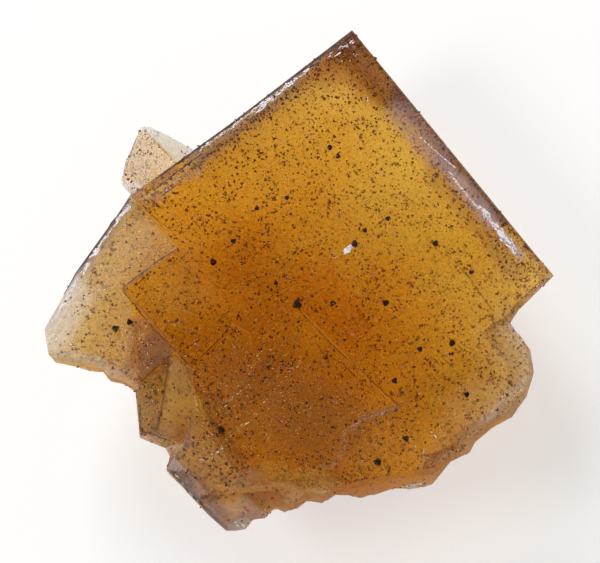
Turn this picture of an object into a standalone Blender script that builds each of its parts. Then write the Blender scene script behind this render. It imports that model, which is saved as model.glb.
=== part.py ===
"""A hand specimen of amber fluorite cubes dotted with chalcopyrite crystals.

The specimen lies on its broken back. The face of the largest cube is level and looks up, +Y runs
towards that cube's top corner, and the origin is the middle of the box around it, on the ground.
Lengths in this script are millimetres; meshes are made in metres. Outlines are measured from a
point on the main face, and an empty that carries every object puts the origin in the middle.
"""
import math
import random
from collections import namedtuple

import bmesh
import bpy
from mathutils import Matrix, Vector
from mathutils.bvhtree import BVHTree

MM = 0.001

# Height of the main face above the ground, and the middle of the box around the specimen
FACE_HEIGHT = 24.0
MIDDLE = (0.0, 0.89)

# Distance between points along an outline
SPACING = 2.6

# A rim says how the level face meets the side along one edge of a crystal's outline:
# how far the level face stops short of the edge, how far the edge lies below it, how deep the
# side stays upright, how far in its foot lies, and how ragged the edge is.
Rim = namedtuple("Rim", "inset drop wall undercut ragged")
WIDE_BEVEL = Rim(2.6, 0.85, 9.0, 0.0, 0.0)
NARROW_BEVEL = Rim(1.5, 0.85, 9.0, 0.0, 0.0)
LEANING_BEVEL = Rim(1.7, 0.8, 0.8, 5.0, 0.1)
LEDGE = Rim(0.3, 0.2, 9.0, 0.0, 0.0)
SHARP = Rim(0.12, 0.12, 9.0, 0.0, 0.0)
BURIED = Rim(0.12, 0.12, 8.0, 4.5, 0.0)
LEANING = Rim(0.15, 0.15, 1.0, 6.5, 0.1)
CHIPPED = Rim(0.6, 0.5, 1.6, 7.0, 0.45)
SPLIT = Rim(0.7, 0.6, 5.0, 5.0, 0.3)

# Most that a foot may lie inwards, as a share of the way to the crystal's middle, how far the
# facets of a broken side stand out or in, and where rings lie between its rim and its foot
LARGEST_UNDERCUT = 0.5
FLANK_JOLT = 0.5
FLANK_SHARES = (0.2, 0.45, 0.7, 1.0)

# Two edges count as one line when the sine of the angle between them is under this
NEARLY_STRAIGHT = 0.05

# Outlines, clockwise seen from above: x, y and the rim of the edge that starts there
MAIN_OUTLINE = [
    (7.0, 34.7, WIDE_BEVEL),
    (33.1, 0.8, LEANING),
    (28.5, -3.8, LEANING),
    (27.4, -5.6, LEANING),
    (30.0, -9.4, CHIPPED),
    (30.4, -12.2, CHIPPED),
    (29.5, -15.2, CHIPPED),
    (27.6, -18.0, CHIPPED),
    (22.7, -21.4, CHIPPED),
    (22.1, -22.8, CHIPPED),
    (17.3, -26.0, SPLIT),
    (10.5, -27.2, SPLIT),
    (5.6, -28.4, CHIPPED),
    (-0.5, -28.9, CHIPPED),
    (-6.0, -27.5, BURIED),
    (-12.5, -19.0, BURIED),
    (-14.2, -11.7, LEDGE),
    (-23.0, -1.1, LEDGE),
    (-15.7, 4.4, SHARP),
    (-22.0, 11.8, NARROW_BEVEL),
    (-8.7, 21.95, NARROW_BEVEL),
]
LEFT_OUTLINE = [
    (-21.9, 12.4, SHARP),
    (-12.0, 6.0, SHARP),
    (-11.0, -5.0, SHARP),
    (-15.5, -9.0, LEANING),
    (-21.3, -14.3, CHIPPED),
    (-22.5, -13.4, CHIPPED),
    (-24.7, -12.6, CHIPPED),
    (-25.4, -11.6, CHIPPED),
    (-29.4, -10.7, CHIPPED),
    (-31.6, -10.2, CHIPPED),
    (-32.5, -9.2, CHIPPED),
    (-33.1, -5.9, NARROW_BEVEL),
    (-28.8, 2.1, NARROW_BEVEL),
    (-28.1, 2.9, NARROW_BEVEL),
]
LOWER_OUTLINE = [
    (-17.2, -22.4, LEANING),
    (-14.9, -21.8, SHARP),
    (-13.5, -18.0, SHARP),
    (-9.0, -13.5, SHARP),
    (1.5, -22.0, CHIPPED),
    (4.6, -28.6, CHIPPED),
    (2.9, -29.5, CHIPPED),
    (1.4, -29.0, CHIPPED),
    (-0.2, -30.2, CHIPPED),
    (-1.5, -30.5, CHIPPED),
    (-2.9, -29.9, CHIPPED),
    (-4.3, -31.4, CHIPPED),
    (-5.9, -31.8, CHIPPED),
    (-6.9, -33.0, CHIPPED),
    (-9.5, -33.4, LEANING_BEVEL),
    (-17.1, -25.2, CHIPPED),
    (-16.6, -23.3, CHIPPED),
]

# Crystals that stand free as wedges, by their corners
WEDGE_CORNERS = [
    (-16.9, -9.3, 23.4), (-21.2, -14.5, 23.0), (-20.6, -20.5, 21.2), (-18.6, -21.2, 22.1),
    (-13.4, -12.7, 22.2), (-12.8, -17.6, 21.1), (-13.9, -21.6, 19.9), (-16.8, -22.0, 20.7),
    (-10.0, -15.0, 20.2), (-18.6, -13.4, 13.5), (-18.0, -18.4, 13.2), (-15.0, -19.0, 11.0),
    (-10.0, -18.0, 10.0), (-10.0, -11.0, 12.0),
]
SMALL_CUBE_CORNERS = [
    (-20.8, 22.4, 19.6), (-15.6, 16.4, 20.1), (-23.5, 15.6, 16.6), (-22.9, 18.2, 17.6),
    (-17.0, 9.0, 17.0), (-19.7, 22.9, 18.3), (-17.3, 22.5, 15.8), (-13.6, 20.5, 15.2),
    (-10.6, 13.0, 15.6), (-19.6, 18.4, 13.4), (-16.0, 16.6, 12.4), (-16.2, 8.2, 12.0),
    (-9.6, 11.6, 12.6),
]

# Layers missing from the main face. Each is a hollow: the corners of its outline, then the point
# where its floor starts, that floor's depth there, and how much deeper or shallower it gets for
# each millimetre towards +X and +Y.
Layer = namedtuple("Layer", "name outline start depth slope")
LAYERS = [
    Layer("missing layer", [
        (0.6, -4.4), (12.6, -17.1), (8.2, -18.8), (5.7, -20.4), (5.4, -23.6), (2.2, -25.2),
        (5.0, -31.5), (-9.0, -32.0), (-12.5, -24.2), (-9.0, -21.8), (-8.6, -20.6), (-6.0, -18.1),
        (-5.2, -16.4), (-2.9, -14.6), (-2.6, -12.8), (-1.2, -11.8), (0.1, -8.6),
    ], (0.6, -4.4), 0.8, (0.036, 0.034)),
    Layer("smooth patch", [
        (-14.5, -12.1), (-8.7, -5.8), (-6.3, -7.2), (-5.8, -12.0), (-9.4, -16.2), (-12.9, -17.8),
    ], (-8.7, -5.8), 0.35, (0.014, 0.026)),
    Layer("corner layer", [
        (20.3, 2.5), (28.0, 8.6), (37.0, 1.5), (31.0, -7.4), (27.4, -7.2), (25.3, -4.2),
    ], (20.3, 2.5), 0.02, (0.037, -0.047)),
    Layer("lower facet", [
        (-14.0, -28.8), (-2.5, -28.2), (0.5, -36.0), (-10.5, -38.0),
    ], (-8.0, -28.8), 0.85, (0.0, -0.5)),
]

# Breaks along the fluorite's cleavage, which cut the four corners of the cube away underneath:
# the compass angle each faces, and its stepped profile as distance from the middle and height
Break = namedtuple("Break", "facing profile seed")
BREAKS = [
    Break(83.0, [(3.0, 0.0), (6.2, 3.6), (9.0, 6.0), (12.0, 8.2), (16.0, 10.0), (20.0, 11.4),
                 (26.0, 12.6), (36.0, 14.4)], 3),
    Break(-7.0, [(8.0, 0.0), (12.0, 3.0), (16.0, 5.8), (20.0, 7.8), (25.0, 10.4), (30.0, 12.6),
                 (36.0, 14.6)], 7),
    Break(-97.0, [(19.0, 0.0), (23.5, 2.8), (27.0, 5.2), (31.0, 8.6), (36.0, 12.4)], 13),
    Break(173.0, [(15.0, 0.0), (18.5, 2.6), (22.0, 6.4), (25.0, 9.6), (29.0, 13.4), (33.0, 16.4),
                  (38.0, 18.4)], 19),
]
BREAK_STATIONS = (-60.0, -24.0, -17.0, -12.0, -6.0, 1.0, 6.0, 13.0, 19.0, 26.0, 60.0)
BREAK_WANDER = 1.0
BREAK_JOLT = 0.55

# How far the cutters of the breaks reach out and down, how steeply they rise past their profile,
# and how far the cutters of the missing layers reach above the face
BREAK_REACH = 60.0
BREAK_BOTTOM = -5.0
BREAK_RISE = 0.5
ABOVE_FACE = 2.0

# Larger chalcopyrite crystals: place on the face and width
CHALCOPYRITE = [
    (-5.5, 9.8, 0.9), (-1.6, 11.2, 0.8), (4.0, 18.1, 0.9), (5.1, 16.9, 0.8), (-11.2, 2.4, 1.2),
    (-8.5, 5.3, 1.0), (-3.0, -0.4, 0.8), (-0.3, -3.4, 1.6), (4.4, -3.3, 1.1), (7.3, 4.9, 1.2),
    (8.6, 6.8, 0.9), (11.6, 8.4, 0.9), (17.8, 5.0, 1.1), (11.2, -3.1, 1.2), (22.4, 1.2, 1.0),
    (19.8, -8.6, 1.1), (15.6, -9.4, 1.0), (12.4, -13.6, 1.1), (21.6, -15.5, 1.0),
    (10.1, -24.6, 1.3), (13.8, -21.5, 1.2), (-10.1, -20.4, 1.4), (-23.8, -6.4, 1.3),
    (-22.0, -5.4, 1.1),
]
# Gap round a crystal in its seat, how much of its width is sunk, and how far it may be tilted
CRYSTAL_GAP = 0.1
CRYSTAL_SUNK = 0.3
CRYSTAL_TILT = (0.5, 1.1)

# A crystal's shape: how far along each edge the tetrahedron's points are cut off, the distance from
# its middle to an uncut point's coordinates, how far it is lifted out of its seat, and how much
# further out its faces lie for each millimetre of width
POINT_CUT = 0.27
POINT_REACH = 0.36
FACE_REACH = 0.6
SEAT_SHARE = 0.294

# Tops of the lower crystals: height at a place, and rise for each millimetre towards +X and +Y
LEFT_TOP = (23.2, (-18.0, -1.0), (0.06, -0.02))
LOWER_TOP = (23.97, (-12.5, -19.0), (0.0553, 0.0427))

# Heights of their undersides above the ground
LEFT_FOOT = 2.0
LOWER_FOOT = 11.0

CENTRE_OF_MAIN = (2.5, 0.5)
CENTRE_OF_LEFT = (-22.0, -1.5)
CENTRE_OF_LOWER = (-7.5, -23.0)


def clear_scene():
    """Remove whatever the file was opened with."""
    for item in list(bpy.data.objects):
        bpy.data.objects.remove(item, do_unlink=True)


def make_material(name, colour, roughness, metallic, transmission, ior):
    """A plain finish for one mineral."""
    material = bpy.data.materials.new(name)
    material.use_nodes = True
    shader = material.node_tree.nodes["Principled BSDF"]
    shader.inputs["Base Color"].default_value = (*colour, 1.0)
    shader.inputs["Roughness"].default_value = roughness
    shader.inputs["Metallic"].default_value = metallic
    shader.inputs["Transmission Weight"].default_value = transmission
    shader.inputs["IOR"].default_value = ior
    return material


def add_object(name, builder, material=None):
    """Turn a bmesh in millimetres into an object in metres."""
    bmesh.ops.triangulate(builder, faces=builder.faces)
    bmesh.ops.recalc_face_normals(builder, faces=builder.faces)
    bmesh.ops.scale(builder, vec=(MM, MM, MM), verts=builder.verts)
    mesh = bpy.data.meshes.new(name)
    builder.to_mesh(mesh)
    builder.free()
    result = bpy.data.objects.new(name, mesh)
    bpy.context.collection.objects.link(result)
    result.parent = bpy.data.objects["specimen"]
    if material:
        mesh.materials.append(material)
    return result


def add_carrier():
    """The empty that carries every object and sets the origin."""
    carrier = bpy.data.objects.new("specimen", None)
    carrier.location = (-MIDDLE[0] * MM, -MIDDLE[1] * MM, 0.0)
    bpy.context.collection.objects.link(carrier)


def combine(target, tool, operation):
    """Join a tool to the target, or cut it away; the tool itself is no part of the specimen."""
    tool.hide_render = True
    tool.display_type = "WIRE"
    step = target.modifiers.new(f"{operation.lower()} {tool.name}", "BOOLEAN")
    step.operation = operation
    step.solver = "EXACT"
    step.object = tool


def skin(builder, rings):
    """Close a stack of rings, top ring first, into one solid."""
    loops = [[builder.verts.new(place) for place in ring] for ring in rings]
    for upper, lower in zip(loops, loops[1:]):
        for i in range(len(upper)):
            builder.faces.new((upper[i - 1], upper[i], lower[i], lower[i - 1]))
    builder.faces.new(loops[0])
    builder.faces.new(loops[-1])


def mitre(previous, here, following, inset_before, inset_after):
    """Where the lines of two neighbouring edges cross once each has moved inwards."""
    before = (here - previous).normalized()
    after = (following - here).normalized()
    inward_before = Vector((before.y, -before.x))
    inward_after = Vector((after.y, -after.x))
    cross = before.x * after.y - before.y * after.x
    if abs(cross) < NEARLY_STRAIGHT:
        return here + inward_before * max(inset_before, inset_after)
    start = here + inward_before * inset_before
    gap = here + inward_after * inset_after - start
    along = (gap.x * after.y - gap.y * after.x) / cross
    return start + before * along


def divide_outline(outline):
    """Points along an outline: place on the edge, place on the level face, rim, and if a corner."""
    corners = [Vector(point[:2]) for point in outline]
    rims = [point[2] for point in outline]
    count = len(corners)
    insets = [mitre(corners[i - 1], corners[i], corners[(i + 1) % count],
                    rims[i - 1].inset, rims[i].inset) for i in range(count)]
    points = []
    for i in range(count):
        j = (i + 1) % count
        steps = max(1, round((corners[j] - corners[i]).length / SPACING))
        for step in range(steps):
            share = step / steps
            points.append((corners[i].lerp(corners[j], share), insets[i].lerp(insets[j], share),
                           rims[i], step == 0))
    return points


def crystal(name, outline, centre, height, foot, seed):
    """A crystal with a level top, a rim along each edge, and sides down to its foot.

    height is a function of x and y that gives the top's height, and foot is the underside's.
    """
    chance = random.Random(seed)
    centre = Vector(centre)
    rings = [[] for _ in range(len(FLANK_SHARES) + 3)]
    for edge, inner, rim, is_corner in divide_outline(outline):
        inward = (centre - edge).normalized()
        if not is_corner:
            edge = edge + inward * chance.uniform(0.0, rim.ragged)
            inner = inner + inward * chance.uniform(0.0, rim.ragged)
        rim_level = height(*edge) - rim.drop
        wall_level = rim_level - rim.wall * (1.0 - rim.ragged * chance.random())
        rings[0].append((*inner, height(*inner)))
        rings[1].append((*edge, rim_level))
        rings[2].append((*edge, wall_level))
        jolt = FLANK_JOLT if rim.undercut else 0.0
        reach = min(rim.undercut, LARGEST_UNDERCUT * (centre - edge).length)
        for ring, share in zip(rings[3:], FLANK_SHARES):
            place = edge + inward * (reach * share + chance.uniform(-jolt, jolt))
            lift = chance.uniform(-jolt, jolt) * (1.0 - share)
            ring.append((*place, wall_level + (foot - wall_level) * share + lift))
    builder = bmesh.new()
    skin(builder, rings)
    return add_object(name, builder)


def wedge(name, corners):
    """A flat-sided crystal around a set of corners."""
    builder = bmesh.new()
    for corner in corners:
        builder.verts.new(corner)
    hull = bmesh.ops.convex_hull(builder, input=builder.verts)
    loose = [item for item in hull["geom_interior"] if isinstance(item, bmesh.types.BMVert)]
    bmesh.ops.delete(builder, geom=loose, context="VERTS")
    return add_object(name, builder)


def hollow(name, outline, start, depth, slope):
    """A cutter that takes the face away down to a sloping floor."""
    above = FACE_HEIGHT + ABOVE_FACE
    floor = [(x, y, FACE_HEIGHT - depth - slope[0] * (x - start[0]) - slope[1] * (y - start[1]))
             for x, y in outline]
    builder = bmesh.new()
    skin(builder, [[(x, y, above) for x, y in outline], floor])
    return add_object(name, builder)


def cleavage_break(name, facing, profile, seed):
    """A cutter whose upper side is a stepped cleavage surface that wanders along its length."""
    chance = random.Random(seed)
    angle = math.radians(facing)
    outward = Vector((math.cos(angle), math.sin(angle)))
    along = Vector((-outward.y, outward.x))
    last_distance, last_level = profile[-1]
    end_level = last_level + (BREAK_REACH - last_distance) * BREAK_RISE
    rings = []
    for station in BREAK_STATIONS:
        ring = []
        wander = chance.uniform(-BREAK_WANDER, BREAK_WANDER)
        for distance, level in profile:
            reach = distance + wander + chance.uniform(-BREAK_JOLT, BREAK_JOLT)
            lift = chance.uniform(-BREAK_JOLT, BREAK_JOLT) if level else 0.0
            ring.append((*(outward * reach + along * station), level + lift))
        far = outward * BREAK_REACH + along * station
        near = outward * (profile[0][0] + wander) + along * station
        ring.extend([(*far, end_level), (*far, BREAK_BOTTOM), (*near, BREAK_BOTTOM)])
        rings.append(ring)
    builder = bmesh.new()
    skin(builder, rings)
    return add_object(name, builder)


def sphenoid_points(width):
    """Corners of a tetrahedron-like crystal with its four points cut off."""
    axes = [Vector((1, 1, 1)), Vector((1, -1, -1)), Vector((-1, 1, -1)), Vector((-1, -1, 1))]
    return [here.lerp(other, POINT_CUT) * width * POINT_REACH
            for here in axes for other in axes if other is not here]


def add_sphenoid(builder, width, place):
    """Add one such crystal to a mesh, turned and moved by a matrix."""
    corners = [builder.verts.new(place @ point) for point in sphenoid_points(width)]
    bmesh.ops.convex_hull(builder, input=corners)


def main_height(x, y):
    """Top of the main cube, which is level."""
    return FACE_HEIGHT


def left_height(x, y):
    """Top of the left crystal, which falls away to the left."""
    level, place, rise = LEFT_TOP
    return level + rise[0] * (x - place[0]) + rise[1] * (y - place[1])


def lower_height(x, y):
    """Top of the lower left crystal, which dips away from the main cube to its outer corner."""
    level, place, rise = LOWER_TOP
    return level + min(rise[0] * (x - place[0]) + rise[1] * (y - place[1]), 0.0)


def build_fluorite(material):
    """The whole intergrown mass of fluorite, before the chalcopyrite's seats are cut."""
    body = crystal("fluorite", MAIN_OUTLINE, CENTRE_OF_MAIN, main_height, 0.0, 11)
    body.data.materials.append(material)
    for tool in (crystal("left crystal", LEFT_OUTLINE, CENTRE_OF_LEFT, left_height, LEFT_FOOT, 23),
                 crystal("lower crystal", LOWER_OUTLINE, CENTRE_OF_LOWER, lower_height, LOWER_FOOT, 31),
                 wedge("wedge crystal", WEDGE_CORNERS),
                 wedge("small cube", SMALL_CUBE_CORNERS)):
        combine(body, tool, "UNION")
    for layer in LAYERS:
        combine(body, hollow(*layer), "DIFFERENCE")
    for number, item in enumerate(BREAKS, start=1):
        combine(body, cleavage_break(f"cleavage break {number}", *item), "DIFFERENCE")
    return body


def build_chalcopyrite(body, material):
    """The larger chalcopyrite crystals, each in a seat that is cut for it."""
    bpy.context.view_layer.update()
    surface = BVHTree.FromObject(body, bpy.context.evaluated_depsgraph_get())
    chance = random.Random(5)
    seats = bmesh.new()
    for number, (x, y, width) in enumerate(CHALCOPYRITE, start=1):
        above = Vector((x, y, FACE_HEIGHT + ABOVE_FACE)) * MM
        found, normal, _, _ = surface.ray_cast(above, Vector((0.0, 0.0, -1.0)))
        centre = found / MM + normal * width * (0.5 - CRYSTAL_SUNK) * FACE_REACH
        turn = normal.to_track_quat("Z", "Y").to_matrix().to_4x4()
        tilt = Matrix.Rotation(chance.uniform(*CRYSTAL_TILT), 4, "X")
        spin = Matrix.Rotation(chance.uniform(0.0, math.tau), 4, "Z")
        place = Matrix.Translation(centre) @ turn @ spin @ tilt
        builder = bmesh.new()
        add_sphenoid(builder, width, place)
        add_object(f"chalcopyrite_{number:02d}", builder, material)
        add_sphenoid(seats, width + CRYSTAL_GAP / SEAT_SHARE, place)
    combine(body, add_object("chalcopyrite seats", seats), "DIFFERENCE")


def main():
    """Build the specimen."""
    clear_scene()
    add_carrier()
    amber = make_material("amber fluorite", (0.62, 0.32, 0.03), 0.12, 0.0, 0.9, 1.434)
    brass = make_material("tarnished chalcopyrite", (0.16, 0.1, 0.04), 0.35, 0.9, 0.0, 1.5)
    body = build_fluorite(amber)
    build_chalcopyrite(body, brass)


main()
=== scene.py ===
"""Looks of a hand specimen: amber fluorite cubes with purple edges, dotted with chalcopyrite.

Lengths named in millimetres are outline millimetres: x and y as the part's outlines give them,
from a point on the main cube's level face, with z up from the ground.
"""
import logging
import math
from dataclasses import dataclass
from enum import Enum
from typing import Any, Sequence

import bmesh
import bpy
import numpy as np
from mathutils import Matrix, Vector, noise
from mathutils.bvhtree import BVHTree


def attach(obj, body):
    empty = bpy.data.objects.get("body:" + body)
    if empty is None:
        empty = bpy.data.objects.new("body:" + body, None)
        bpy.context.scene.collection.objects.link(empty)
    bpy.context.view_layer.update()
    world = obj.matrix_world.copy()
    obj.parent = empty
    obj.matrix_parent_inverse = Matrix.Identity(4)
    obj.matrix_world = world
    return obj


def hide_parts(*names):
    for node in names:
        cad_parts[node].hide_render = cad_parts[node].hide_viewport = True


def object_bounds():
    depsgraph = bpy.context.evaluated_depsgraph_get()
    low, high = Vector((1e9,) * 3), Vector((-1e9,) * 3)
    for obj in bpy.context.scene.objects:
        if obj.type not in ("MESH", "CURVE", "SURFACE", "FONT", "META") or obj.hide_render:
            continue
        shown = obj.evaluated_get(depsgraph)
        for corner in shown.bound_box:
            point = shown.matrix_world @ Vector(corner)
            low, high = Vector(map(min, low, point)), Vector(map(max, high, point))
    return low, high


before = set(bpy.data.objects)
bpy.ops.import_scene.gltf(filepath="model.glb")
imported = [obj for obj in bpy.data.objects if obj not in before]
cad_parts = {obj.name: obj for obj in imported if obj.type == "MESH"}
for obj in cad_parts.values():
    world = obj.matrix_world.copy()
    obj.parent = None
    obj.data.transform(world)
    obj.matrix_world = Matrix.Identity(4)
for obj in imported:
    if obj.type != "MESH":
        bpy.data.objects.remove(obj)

CAD_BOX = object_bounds()
LOG = logging.getLogger("specimen")

Point = tuple[float, float]
Triple = tuple[float, float, float]

MM = 0.001
FACE_HEIGHT = 24.0
JUST_BELOW = 23.9
LEVEL_FACE = FACE_HEIGHT - 0.05
VIEW_ELEVATION = 73.0
LEAN = 1.0 / math.tan(math.radians(VIEW_ELEVATION))
ORIGIN = np.array([0.0, 0.89, 0.0])
BODY = "root"
CLEAR = (1.0, 1.0, 1.0)
FLUORITE_IOR = 1.434


class Direction(Enum):
    """Compass angles that the cube faces of the main crystal look towards."""

    RIGHT_FLANK = 38.0
    LEFT_FLANK = 128.0


class Site(Enum):
    """Which faces a piece of grains lies on."""

    TOP = "faces that look up"
    SIDES = "faces that look sideways or down"


class Socket:
    """An output of a node that takes part in Python sums."""

    def __init__(self, tree: "Tree", socket: bpy.types.NodeSocket) -> None:
        """Wrap one output socket of a tree."""
        self.tree = tree
        self.socket = socket

    def math(self, operation: str, other: "Socket | float") -> "Socket":
        """Add a Math node on this socket and another value."""
        return self.tree.node("ShaderNodeMath", {0: self, 1: other}, operation=operation)

    def __add__(self, other: "Socket | float") -> "Socket":
        """Sum."""
        return self.math("ADD", other)

    __radd__ = __add__

    def __mul__(self, other: "Socket | float") -> "Socket":
        """Product."""
        return self.math("MULTIPLY", other)

    def __sub__(self, other: "Socket | float") -> "Socket":
        """Difference."""
        return self.math("SUBTRACT", other)

    def __rsub__(self, other: "Socket | float") -> "Socket":
        """Difference from a number."""
        return self * -1.0 + other

    def scaled(self, factor: "Socket | float") -> "Socket":
        """A vector times a number."""
        return self.tree.node("ShaderNodeVectorMath", {0: self, "Scale": factor}, operation="SCALE")

    def step(self, low: float, high: float) -> "Socket":
        """Rise smoothly from 0 at low to 1 at high, or fall where high is the lower of the two.

        Args:
            low: value where the result is 0.
            high: value where the result is 1.
        Returns:
            The smoothed share.
        """
        limits = {0: self, 1: min(low, high), 2: max(low, high)}
        share = self.tree.node("ShaderNodeMapRange", limits, interpolation_type="SMOOTHSTEP")
        return share if low <= high else 1.0 - share


class Tree:
    """A node tree under construction."""

    def __init__(self, tree: bpy.types.NodeTree) -> None:
        """Empty the tree and keep it."""
        self.tree = tree
        tree.nodes.clear()

    def make(self, kind: str, values: dict[int | str, Any] | None = None,
             **settings: Any) -> bpy.types.Node:
        """Add a node.

        Args:
            kind: the node's type.
            values: numbers, colours or sockets for its inputs, by name or number.
            settings: its properties, set first.
        Returns:
            The node.
        """
        node = self.tree.nodes.new(kind)
        for name, value in settings.items():
            setattr(node, name, value)
        for name, value in (values or {}).items():
            entry = node.inputs[name]
            if isinstance(value, Socket):
                self.tree.links.new(value.socket, entry)
            else:
                entry.default_value = (*value, 1.0) if entry.type == "RGBA" else value
        return node

    def node(self, kind: str, values: dict[int | str, Any] | None = None, output: int | str = 0,
             **settings: Any) -> Socket:
        """Add a node and take one of its outputs.

        Args:
            kind: the node's type.
            values: what its inputs take.
            output: which output is wanted.
            settings: its properties.
        Returns:
            That output.
        """
        return Socket(self, self.make(kind, values, **settings).outputs[output])

    def coordinates(self) -> Socket:
        """Object coordinates, in metres."""
        return self.node("ShaderNodeTexCoord", output="Object")

    def mark(self, name: str, output: str = "Fac") -> Socket:
        """A number kept on the mesh, or a colour where the output is Color."""
        return self.node("ShaderNodeAttribute", output=output, attribute_name=name)

    def noise(self, place: Socket, per_mm: float, detail: float = 2.0, rough: float = 0.5,
              stretch: Triple | None = None, turn: float = 0.0) -> Socket:
        """Noise of a given fineness.

        Args:
            place: coordinates in metres.
            per_mm: cells for each millimetre.
            detail: octaves.
            rough: how much the finer octaves count.
            stretch: how much finer it is along each axis, once turned.
            turn: compass angle of the stretched pattern's X axis, in degrees.
        Returns:
            The noise, from 0 to 1.
        """
        if stretch:
            place = self.node("ShaderNodeMapping", {
                "Vector": place, "Rotation": (0.0, 0.0, math.radians(turn)),
                "Scale": tuple(1.0 / s for s in stretch)}, vector_type="TEXTURE")
        return self.node("ShaderNodeTexNoise", {
            "Vector": place, "Scale": per_mm / MM, "Detail": detail, "Roughness": rough})

    def blend(self, factor: Socket | float, first: Socket | Triple, second: Socket | Triple,
              how: str = "MIX") -> Socket:
        """Mix two colours.

        Args:
            factor: share of the second.
            first: colour where the factor is 0.
            second: colour where it is 1.
            how: the Mix node's blend type.
        Returns:
            The mixed colour.
        """
        return self.node("ShaderNodeMix", {0: factor, 6: first, 7: second}, output=2,
                         data_type="RGBA", blend_type=how)


@dataclass(frozen=True)
class Finish:
    """A finish, made of the shaders that its kind gives."""

    name: str

    def build(self) -> bpy.types.Material:
        """Make the material.

        Returns:
            The material.
        """
        material = bpy.data.materials.new(self.name)
        material.use_nodes = True
        tree = Tree(material.node_tree)
        tree.make("ShaderNodeOutputMaterial", self.shade(tree))
        return material

    def shade(self, tree: Tree) -> dict[str, Socket]:
        """Shaders for the material's output, by the name of the input they feed."""
        raise NotImplementedError


@dataclass(frozen=True)
class FluoriteFinish(Finish):
    """Amber fluorite: clear, yellow to orange with depth, cloudy and purple along its cube edges.

    The mesh carries marks: tint, what its skin takes from light that passes; cloud, the share of
    the skin that is milky; milk, the colour it is milky in, where on the right bevel the milky skin
    paints a highlight streak; haze, added roughness; and broken.
    """

    name: str = "amber fluorite"
    absorbed: Triple = (0.92, 0.725, 0.02)
    density: float = 215.0
    specks: Triple = (0.56, 0.36, 0.25)
    growth_lines: Triple = (0.06, 1.6, 1.0)

    def shade(self, tree: Tree) -> dict[str, Socket]:
        """A partly milky skin over a clear inside that absorbs light."""
        place = tree.coordinates()
        broken = tree.mark("broken")
        patchy = tree.noise(place, 0.16, 5.0, 0.62)
        mottled = tree.noise(place, 1.3, 5.0, 0.75)
        grainy = tree.noise(place, 3.6, 3.0, 0.7)
        level = 0.78 + patchy * 0.26 + mottled * 0.26
        grey = tree.node("ShaderNodeCombineColor", {0: level, 1: level, 2: level})
        tint = tree.blend(1.0, tree.mark("tint", "Color"), grey, "MULTIPLY")
        tint = tree.blend(grainy.step(0.54, 0.7), tint, self.specks, "MULTIPLY")
        flecks = tree.noise(place, 3.9, 2.0, 0.6).step(0.54, 0.68)
        cloud = tree.mark("cloud") * (0.3 + mottled * 1.4) + flecks * 0.2
        relief = self.relief(tree, place, 1.0 - broken)
        rough = 0.08 + broken * 0.75 + mottled * 0.06 + tree.mark("haze")
        clear = tree.node("ShaderNodeBsdfPrincipled", {
            "Base Color": tint, "Roughness": rough, "IOR": FLUORITE_IOR,
            "Transmission Weight": 1.0, "Normal": relief})
        milky = tree.node("ShaderNodeBsdfPrincipled", {
            "Base Color": tree.mark("milk_and_highlight", "Color"), "Roughness": 0.32 + broken * 0.3,
            "IOR": FLUORITE_IOR, "Normal": relief})
        skin = tree.node("ShaderNodeMixShader", {"Fac": cloud, 1: clear, 2: milky})
        inside = tree.node("ShaderNodeVolumeAbsorption", {
            "Color": self.absorbed, "Density": self.density})
        return {"Surface": skin, "Volume": inside}

    def relief(self, tree: Tree, place: Socket, grown: Socket) -> Socket:
        """Growth lines parallel to the cube's edges on grown faces, and a rough break elsewhere.

        Args:
            tree: the tree it goes in.
            place: coordinates.
            grown: 1 on grown faces, 0 on broken ones.
        Returns:
            The bent normal.
        """
        across, along = (tree.noise(place, 0.9, 3.0, 0.6, self.growth_lines, turn)
                         for turn in (Direction.LEFT_FLANK.value - 180.0,
                                      Direction.RIGHT_FLANK.value))
        wavy = tree.noise(place, 0.22)
        torn = tree.noise(place, 0.8, 6.0, 0.65)
        height = (across + along) * grown * 0.012 + wavy * 0.05 + torn * (1.0 - grown) * 0.5
        return tree.node("ShaderNodeBump", {"Height": height * MM, "Strength": 1.0, "Distance": 1.0})


@dataclass(frozen=True)
class ChalcopyriteFinish(Finish):
    """Chalcopyrite tarnished to a dark bronze, with a few brassy faces left bright."""

    name: str = "tarnished chalcopyrite"
    tarnish: Triple = (0.03, 0.017, 0.012)
    brass: Triple = (0.42, 0.27, 0.08)
    bright_share: float = 0.62
    metallic: float = 0.85
    stain: Triple = (0.05, 0.022, 0.014)

    def shade(self, tree: Tree) -> dict[str, Socket]:
        """A metal, stained in patches and bright in spots."""
        place = tree.coordinates()
        bright = tree.noise(place, 1.7, 3.0).step(self.bright_share, self.bright_share + 0.08)
        stained = tree.noise(place, 0.9).step(0.42, 0.56)
        colour = tree.blend(bright, tree.blend(stained, self.tarnish, self.stain), self.brass)
        return {"Surface": tree.node("ShaderNodeBsdfPrincipled", {
            "Base Color": colour, "Metallic": self.metallic,
            "Roughness": 0.25 + tree.noise(place, 9.0) * 0.3})}


@dataclass(frozen=True)
class StainFinish(Finish):
    """Iron stain along a seam in the fluorite, dark red to nearly black; the same finish paints
    shade as dark lines along the crystal edges.
    """

    name: str = "stained seam"
    thin: Triple = (0.16, 0.035, 0.008)
    thick: Triple = (0.022, 0.007, 0.006)

    def shade(self, tree: Tree) -> dict[str, Socket]:
        """A dull, patchy stain."""
        patchy = tree.noise(tree.coordinates(), 0.8, 4.0, 0.7)
        return {"Surface": tree.node("ShaderNodeBsdfPrincipled", {
            "Base Color": tree.blend(patchy.step(0.3, 0.62), self.thick, self.thin),
            "Roughness": 0.45 + patchy * 0.3})}


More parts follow.
